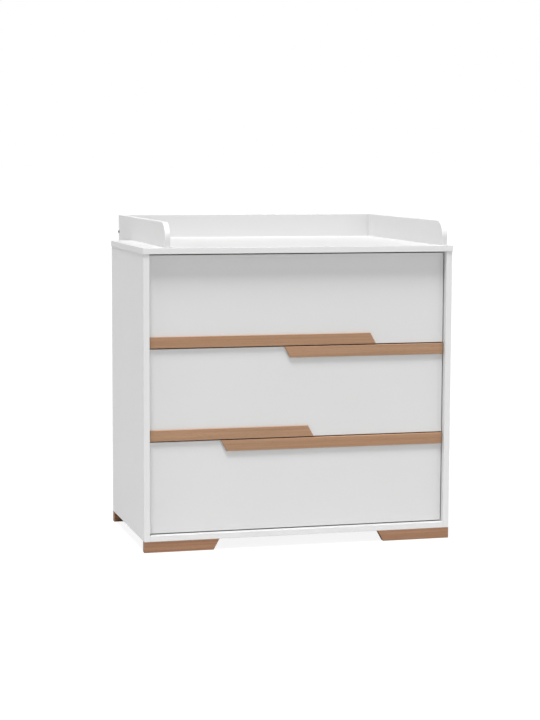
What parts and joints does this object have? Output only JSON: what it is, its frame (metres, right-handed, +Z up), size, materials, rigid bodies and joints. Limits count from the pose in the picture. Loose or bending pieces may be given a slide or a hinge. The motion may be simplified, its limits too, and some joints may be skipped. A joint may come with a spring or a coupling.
{
  "type": "changing table",
  "caption": "White chest of drawers on low beech feet, with slanted beech handle strips and a top edged by low rails that serves as a changing table.",
  "frame": {"origin": "on the floor, at the middle of the overall box: midway across the chest, and midway between the front of the top and the rear of the changing rail", "axes": "+X to the right seen from the front, +Y to the rear, +Z up; the drawers open towards -Y"},
  "size_m": [0.953, 0.7456, 0.971],
  "materials": {
    "white_lacquered_board": "smooth satin white lacquer",
    "white_drawer_board": "matt white melamine",
    "white_hardboard": "thin white hardboard",
    "beech": "oiled beech, fine straight grain",
    "dowel_wood": "plain beech dowel",
    "zinc_steel": "bright zinc plate",
    "runner_steel": "zinc plated pressed steel",
    "cam_zinc": "die-cast zinc",
    "dark_steel": "burnished dark bolt"
  },
  "bodies": {
    "carcass": {"back_panel": "white_hardboard", "back_panel_nails": "zinc_steel", "bottom_panel": "white_lacquered_board", "cam_bolts": "zinc_steel", "cam_discs": "cam_zinc", "carcass_dowels": "dowel_wood", "changer_back_rail": "white_lacquered_board", "changer_barrel_nuts": "zinc_steel", "changer_corner_bolts": "dark_steel", "changer_dowels": "dowel_wood", "changer_left_rail": "white_lacquered_board", "changer_rear_board": "white_lacquered_board", "changer_right_rail": "white_lacquered_board", "changer_screws": "zinc_steel", "foot_screws": "zinc_steel", "front_left_foot": "beech", "front_right_foot": "beech", "left_side_panel": "white_lacquered_board", "lower_cabinet_members": "runner_steel", "middle_cabinet_members": "runner_steel", "rear_left_foot": "beech", "rear_right_foot": "beech", "rear_top_rail": "white_lacquered_board", "right_side_panel": "white_lacquered_board", "runner_screws": "zinc_steel", "top_panel": "white_lacquered_board", "upper_cabinet_members": "runner_steel", "wall_bracket_screws": "zinc_steel", "wall_brackets": "zinc_steel"},
    "lower_drawer": {"lower_drawer_back": "white_drawer_board", "lower_drawer_bottom": "white_hardboard", "lower_drawer_dowels": "dowel_wood", "lower_drawer_front": "white_lacquered_board", "lower_drawer_left_side": "white_drawer_board", "lower_drawer_members": "runner_steel", "lower_drawer_right_side": "white_drawer_board", "lower_handle": "beech", "lower_handle_screws": "zinc_steel"},
    "lower_slides": {"lower_middle_members": "runner_steel"},
    "middle_drawer": {"middle_bottom_handle": "beech", "middle_drawer_back": "white_drawer_board", "middle_drawer_bottom": "white_hardboard", "middle_drawer_dowels": "dowel_wood", "middle_drawer_front": "white_lacquered_board", "middle_drawer_left_side": "white_drawer_board", "middle_drawer_members": "runner_steel", "middle_drawer_right_side": "white_drawer_board", "middle_handle_screws": "zinc_steel", "middle_top_handle": "beech"},
    "middle_slides": {"middle_middle_members": "runner_steel"},
    "upper_drawer": {"upper_drawer_back": "white_drawer_board", "upper_drawer_bottom": "white_hardboard", "upper_drawer_dowels": "dowel_wood", "upper_drawer_front": "white_lacquered_board", "upper_drawer_left_side": "white_drawer_board", "upper_drawer_members": "runner_steel", "upper_drawer_right_side": "white_drawer_board", "upper_handle": "beech", "upper_handle_screws": "zinc_steel"},
    "upper_slides": {"upper_middle_members": "runner_steel"}
  },
  "joints": [
    {"name": "lower_drawer_slide", "type": "slide", "parent": "carcass", "child": "lower_drawer", "axis": [0, -1, 0], "range_m": [0, 0.45]},
    {"name": "lower_runner_slide", "type": "slide", "parent": "carcass", "child": "lower_slides", "axis": [0, -1, 0], "range_m": [0, 0.225]},
    {"name": "middle_drawer_slide", "type": "slide", "parent": "carcass", "child": "middle_drawer", "axis": [0, -1, 0], "range_m": [0, 0.45]},
    {"name": "middle_runner_slide", "type": "slide", "parent": "carcass", "child": "middle_slides", "axis": [0, -1, 0], "range_m": [0, 0.225]},
    {"name": "upper_drawer_slide", "type": "slide", "parent": "carcass", "child": "upper_drawer", "axis": [0, -1, 0], "range_m": [0, 0.45]},
    {"name": "upper_runner_slide", "type": "slide", "parent": "carcass", "child": "upper_slides", "axis": [0, -1, 0], "range_m": [0, 0.225]}
  ],
  "couplings": [
    {"joint": "lower_runner_slide", "follows": "lower_drawer_slide", "ratio": 0.5},
    {"joint": "middle_runner_slide", "follows": "middle_drawer_slide", "ratio": 0.5},
    {"joint": "upper_runner_slide", "follows": "upper_drawer_slide", "ratio": 0.5}
  ]
}
